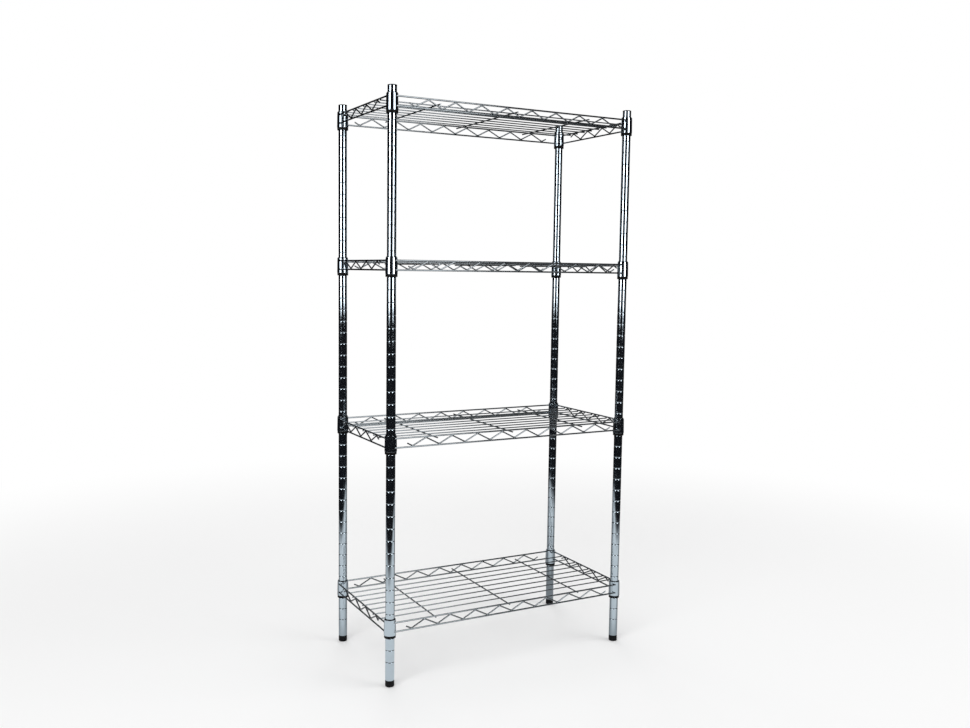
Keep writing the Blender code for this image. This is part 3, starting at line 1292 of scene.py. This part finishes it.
@dataclass(frozen=True)
class WireRow:
    """A row of straight wires side by side, with the height of their middles."""

    diameter: float
    length: float
    count: int
    pitch: float
    height: float
    sides: int = 14
    end_round: float = 0.0005

    @property
    def offsets(self) -> list[float]:
        """Return where the wires lie across the row."""
        return [(i - (self.count - 1) / 2) * self.pitch for i in range(self.count)]

    def lay(self, name: str) -> Object:
        """Lay the wires along X.

        Args:
            name: name of the master.

        Returns:
            The row of wires.
        """
        wires = straight_wire(name, self.length, self.diameter, self.sides, self.end_round)
        shift(wires, Vector((0.0, self.offsets[0], self.height)))
        repeat(wires, self.count, Vector((0.0, self.pitch, 0.0)))
        shade(wires)
        return wires


@dataclass
class ShelfDecks(SubAssembly):
    """Long mat wires on three cross wires; the mat wires pass under the upper short rails."""

    mat: WireRow = WireRow(diameter=0.0026, length=0.5875, count=8, pitch=0.02975, height=0.02945)
    cross: WireRow = WireRow(diameter=0.0030, length=0.2840, count=3, pitch=0.1785, height=0.0268)

    def build(self) -> None:
        """Lay one mat and one set of cross wires, and copy them for each shelf."""
        mat = self.mat.lay("mat")
        cross = self.cross.lay("cross")
        quarter = Matrix.Rotation(QUARTER_TURN, 4, "Z")
        for shelf, place in self.shelves():
            facts = {"body": f"shelf_{shelf}", "nodes": (f"shelf_deck_{shelf}",), "slot": Slot.MAT}
            self.copy(mat, f"mat_{shelf}", place, finish=SHADED_WIRE_CHROME, **facts)
            self.copy(cross, f"cross_{shelf}", place @ quarter, finish=SHADED_SIDE_CHROME, **facts)


@dataclass
class ShelfWelds(SubAssembly):
    """Small plated weld spots where the wires of a shelf's frame and deck meet."""

    frames: ShelfFrames
    decks: ShelfDecks
    along: float = 0.0022
    across: float = 0.0013
    depth: float = 0.0008
    roughen: float = 0.00006
    seed: int = 4
    segments: int = 8
    rings: int = 5
    shade_angle: float = 70.0

    def spot(self) -> Object:
        """Model one uneven weld spot, drawn out along X.

        Returns:
            The spot, on the origin.
        """
        add = bpy.ops.mesh.primitive_uv_sphere_add
        obj = primitive("spot", add, segments=self.segments, ring_count=self.rings, radius=1.0)
        with editing(obj):
            bpy.ops.transform.resize(value=(self.along, self.across, self.depth))
            bpy.ops.transform.vertex_random(offset=self.roughen, seed=self.seed)
            clean_up()
        shade(obj, self.shade_angle)
        return obj

    def places(self) -> list[Matrix]:
        """Find where the weld spots of a shelf go.

        Returns:
            The place of each spot.
        """
        frames, mat = self.frames, self.decks.mat
        reach = frames.rail_diameter / 2 - frames.zigzag_sink / 2
        low, high = frames.lower_rail + reach, frames.lower_rail + frames.rail_spacing - reach
        found = []
        for side in Side:
            turns = frames.long_turns if side.is_long else frames.short_turns
            for i in range(-turns, turns + 1):
                spot = Vector((i * frames.zigzag_pitch / 2, 0.0, low if i % 2 == 0 else high))
                found.append(frames.place_of(side) @ Matrix.Translation(spot))
        under, over = mat.height - mat.diameter / 2, mat.height + mat.diameter / 2
        for y in mat.offsets:
            found += [Matrix.Translation((x, y, over)) for x in (-frames.rail_x, frames.rail_x)]
            found += [Matrix.Translation((x, y, under)) for x in self.decks.cross.offsets]
        return found

    def build(self) -> None:
        """Set the spots of one shelf and copy them for each."""
        spot = self.spot()
        spots = []
        for place in self.places():
            obj = spot.copy()
            obj.data = spot.data.copy()
            obj.data.transform(place)
            bpy.context.scene.collection.objects.link(obj)
            spots.append(obj)
        welds = joined("welds", spots)
        facts = {"nodes": (), "slot": Slot.WIRE, "finish": WELD_CHROME}
        for shelf, place in self.shelves():
            self.copy(welds, f"welds_{shelf}", place, body=f"shelf_{shelf}", **facts)


class Seen(Enum):
    """Which rays meet a piece of the studio."""

    ALL = "all"
    REFLECTIONS = "reflections"


@dataclass(frozen=True)
class Lamp:
    """A soft square lamp, with its power in watts and the height over the floor that it aims at."""

    name: str
    location: Triple
    power: float
    size: float = 1.8
    aim: float = 0.5

    def build(self) -> None:
        """Hang the lamp, which neither the camera nor a reflection shows."""
        deselect_all()
        turned = (up(self.aim) - Vector(self.location)).to_track_quat("-Z", "Y").to_euler()
        bpy.ops.object.light_add(type="AREA", location=self.location, rotation=turned)
        lamp = named(self.name)
        lamp.data.size = self.size
        lamp.data.energy = self.power
        lamp.visible_glossy = False
        lamp.visible_camera = False


@dataclass
class Studio:
    """Pale floor, white background, soft lamps, the bright and dark walls that the chrome mirrors, and a
    painted shadow under the unit that only reflections show.

    Attributes:
        facing: direction from the unit to the camera, as an angle from -Y towards +X, in degrees.
    """

    facing: float = -28.4
    floor_radius: float = 7.0
    floor_colour: Triple = (0.90, 0.90, 0.90)
    floor_half: Pair = (1.0, 1.0)
    floor_fade: Pair = (0.9, 2.4)
    wall_radius: float = 3.4
    wall_height: float = 5.0
    wall_sides: int = 180
    wall_colour: Triple = (0.010, 0.010, 0.012)
    panel_from: float = 31.0
    panel_to: float = 55.0
    back_from: float = 150.0
    panel_bottom: float = 0.50
    panel_top: float = 4.8
    panel_rise: Pair = (0.58, 0.72)
    panel_fall: Pair = (1.9, 2.8)
    panel_high: float = 0.60
    panel_strength: float = 6.0
    back_strength: float = 1.3
    apron_height: float = 0.002
    apron_half: Pair = (1.40, 1.28)
    apron_forward: float = -0.14
    apron_fade: Pair = (0.75, 1.05)
    # Painted shadow on the floor under and behind the unit, seen only in reflections: where it fades in and
    # how dark it gets.
    painted_shadow_fade: Pair = (-0.17, 0.08)
    painted_shadow_depth: float = 0.62
    overhead_place: Triple = (1.1, -0.6, 4.9)
    overhead_size: float = 3.2
    overhead_strength: float = 0.2
    ambient: float = 0.62
    lamps: tuple[Lamp, ...] = (
        Lamp("key_lamp", (-1.9, -1.6, 3.0), power=42.0),
        Lamp("fill_lamp", (2.0, -1.8, 2.6), power=27.0),
        Lamp("back_lamp", (0.4, 2.4, 2.8), power=22.0),
    )

    def angle_off(self, point: Vector) -> float:
        """Return the angle in degrees between a point and the camera, seen from above at the unit."""
        angle = math.degrees(math.atan2(point.x, -point.y)) - self.facing
        return abs((angle + 180.0) % 360.0 - 180.0)

    def is_panel(self, point: Vector) -> bool:
        """Say whether a bright panel stands in the direction of a point."""
        return self.panel_from < self.angle_off(point) < self.panel_to

    def is_back(self, point: Vector) -> bool:
        """Say whether the panel behind the unit stands in the direction of a point."""
        return self.angle_off(point) > self.back_from

    def show(self, obj: Object, material: Material, seen: Seen = Seen.REFLECTIONS) -> None:
        """Give a piece of the studio its material and the rays that meet it.

        Args:
            obj: the piece of the studio.
            material: its material.
            seen: which rays meet it.
        """
        obj.data.materials.append(material)
        if seen is Seen.REFLECTIONS:
            for rays in ("camera", "diffuse", "shadow", "volume_scatter"):
                setattr(obj, f"visible_{rays}", False)

    def band(self, name: str, low: float, high: float, gone: Test | None = None) -> Object:
        """Stand a round wall about the unit.

        Args:
            name: name of the wall.
            low: height of its lower edge.
            high: height of its upper edge.
            gone: says of a face's middle whether the face is cut away, or None to keep all.

        Returns:
            The wall.
        """
        wall = primitive(
            name,
            bpy.ops.mesh.primitive_cylinder_add,
            vertices=self.wall_sides,
            radius=self.wall_radius,
            depth=high - low,
            location=up((low + high) / 2),
            end_fill_type="NOTHING",
        )
        if gone:
            delete_faces(wall, gone)
        return wall

    def disc(self, name: str, radius: float, height: float) -> Object:
        """Return a round sheet at a height."""
        add = bpy.ops.mesh.primitive_circle_add
        return primitive(
            name, add, vertices=self.wall_sides, radius=radius, fill_type="NGON", location=up(height)
        )

    def turned(self, sheet: Sheet) -> Socket:
        """Return a socket with the place on the floor, turned so that Y points away from the camera."""
        return sheet.mapped(sheet.place(), {"Rotation": (0.0, 0.0, -math.radians(self.facing))})

    def reach(self, sheet: Sheet, half: Pair, forward: float = 0.0) -> Socket:
        """Measure how far out a point of the floor lies, as a share of an oval that faces the camera.

        Args:
            sheet: the material's nodes.
            half: half of the oval's width and of its depth.
            forward: how far the oval's middle lies in front of the unit's, towards the camera.

        Returns:
            The socket with the share, 1 on the oval.
        """
        settings = {"Location": (0.0, forward / half[1], 0.0), "Scale": (1 / half[0], 1 / half[1], 0.0)}
        placed = sheet.mapped(self.turned(sheet), settings)
        return sheet.add("ShaderNodeVectorMath", {0: placed}, operation="LENGTH").outputs["Value"]

    def floor_material(self) -> Material:
        """Make a pale matt floor that runs out into the white background.

        Returns:
            The material.
        """
        material, sheet = new_material("pale_floor")
        out = sheet.ramp(self.reach(sheet, self.floor_half), *self.floor_fade)
        sheet.output(sheet.fade(out, sheet.matt(self.floor_colour), sheet.light(1.0)))
        return material

    def apron_material(self) -> Material:
        """Make a sheet that is dark far from the unit, with a half-dark painted shadow under and behind the
        unit, and clear in front of it.

        Returns:
            The material.
        """
        material, sheet = new_material("dark_apron")
        clear = sheet.add("ShaderNodeBsdfTransparent").outputs[0]
        outer = sheet.ramp(self.reach(sheet, self.apron_half, self.apron_forward), *self.apron_fade)
        # Painted shadow under and behind the unit, which only reflections show.
        behind = sheet.ramp(sheet.along(self.turned(sheet), "Y"), *self.painted_shadow_fade, 0.0, self.painted_shadow_depth)
        shaded = sheet.math("MAXIMUM", outer, behind)
        sheet.output(sheet.fade(shaded, clear, sheet.matt(self.wall_colour)))
        return material

    def panel_material(self, name: str, brightness: float) -> Material:
        """Make a panel that is brightest at the height of the unit.

        Args:
            name: name of the material.
            brightness: strength of its light there.

        Returns:
            The material.
        """
        material, sheet = new_material(name)
        height = sheet.along(sheet.place(), "Z")
        rise = sheet.ramp(height, *self.panel_rise, 0.0, brightness)
        fall = sheet.ramp(height, *self.panel_fall, 1.0, self.panel_high)
        sheet.output(sheet.light(sheet.math("MULTIPLY", rise, fall)))
        return material

    def overhead_material(self) -> Material:
        """Make the evenly bright panel over the unit, which shows in the wires.

        Returns:
            The material.
        """
        material, sheet = new_material("overhead_panel")
        sheet.output(sheet.light(self.overhead_strength))
        return material

    def dark_material(self) -> Material:
        """Make the matt dark of the studio's walls.

        Returns:
            The material.
        """
        material, sheet = new_material("dark_wall")
        sheet.output(sheet.matt(self.wall_colour))
        return material

    def build_walls(self) -> None:
        """Stand the floor, the bright panels and the dark walls."""
        low, high, top = self.panel_bottom, self.panel_top, self.wall_height
        dark = self.dark_material()
        self.show(self.disc("floor", self.floor_radius, 0.0), self.floor_material(), Seen.ALL)
        self.show(self.disc("apron", self.wall_radius, self.apron_height), self.apron_material())
        panels = self.band("panels", low, high, lambda point: not self.is_panel(point))
        self.show(panels, self.panel_material("soft_panel", self.panel_strength))
        back = self.band("back_panel", low, high, lambda point: not self.is_back(point))
        self.show(back, self.panel_material("back_panel", self.back_strength))
        self.show(self.band("skirt", 0.0, low), dark)
        middle = self.band("middle_wall", low, high, lambda at: self.is_panel(at) or self.is_back(at))
        self.show(middle, dark)
        self.show(self.band("upper_wall", high, top), dark)
        self.show(self.disc("ceiling", self.wall_radius, top), dark)
        add = bpy.ops.mesh.primitive_plane_add
        overhead = primitive("overhead", add, size=self.overhead_size, location=self.overhead_place)
        self.show(overhead, self.overhead_material())

    def build_world(self) -> None:
        """Light the scene evenly, and show white to the camera and in reflections."""
        world = bpy.data.worlds.new("studio")
        world.use_nodes = True
        bpy.context.scene.world = world
        sheet = Sheet(world.node_tree)
        path = sheet.add("ShaderNodeLightPath").outputs
        seen = sheet.math("MAXIMUM", path["Is Camera Ray"], path["Is Glossy Ray"])
        seen = sheet.math("MAXIMUM", seen, path["Is Transmission Ray"])
        soft, white = (sheet.light(strength, "Background") for strength in (self.ambient, 1.0))
        sheet.output(sheet.fade(seen, soft, white), "World")

    def build(self) -> None:
        """Set up the whole studio."""
        self.build_walls()
        self.build_world()
        for lamp in self.lamps:
            lamp.build()


@dataclass(frozen=True)
class PhotoCamera:
    """The camera, at the photograph's place and angle.

    Attributes:
        location: where it stands.
        yaw: angle of its view from +Y towards +X, in degrees.
        pitch: angle of its view below the horizon, in degrees.
        roll: turn about its view, in degrees.
        focal: focal length in pixels of the photograph.
        width: width of the photograph in pixels.
        sensor: width of the sensor in millimetres.
    """

    location: Triple = (-1.038, -1.924, 0.8545)
    yaw: float = 28.51
    pitch: float = 5.48
    roll: float = 0.79
    focal: float = 971.1
    width: float = 970.0
    sensor: float = 36.0

    def build(self) -> None:
        """Make the camera and set it as the scene's."""
        yaw, pitch, roll = (math.radians(angle) for angle in (self.yaw, self.pitch, self.roll))
        ahead = Vector((math.sin(yaw) * math.cos(pitch), math.cos(yaw) * math.cos(pitch), -math.sin(pitch)))
        level = Vector((math.cos(yaw), -math.sin(yaw), 0.0))
        above = level.cross(ahead)
        right = math.cos(roll) * level + math.sin(roll) * above
        upward = math.cos(roll) * above - math.sin(roll) * level
        turn_matrix = Matrix((right, upward, -ahead)).transposed().to_4x4()
        deselect_all()
        bpy.ops.object.camera_add()
        camera = named("photo_camera")
        camera.matrix_world = Matrix.Translation(self.location) @ turn_matrix
        camera.data.sensor_width = self.sensor
        camera.data.lens = self.sensor * self.focal / self.width
        bpy.context.scene.camera = camera


def main() -> None:
    """Build the sub-assemblies in order, then the studio and the camera."""
    logging.basicConfig(level=logging.INFO, format="%(message)s")
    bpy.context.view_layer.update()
    effects = SharedEffects()
    effects.make_plating()
    effects.make_moulding()
    layout = Layout.read()
    frames = ShelfFrames(layout)
    decks = ShelfDecks(layout)
    for assembly in (
        Posts(layout),
        PostCaps(layout),
        FootSockets(layout),
        LevellingFeet(layout),
        SplitSleeves(layout),
        frames,
        decks,
        ShelfWelds(layout, frames=frames, decks=decks),
    ):
        assembly.make()
    Studio().build()
    PhotoCamera().build()
    bpy.context.scene.view_settings.view_transform = "Standard"


if __name__ == "__main__":
    main()
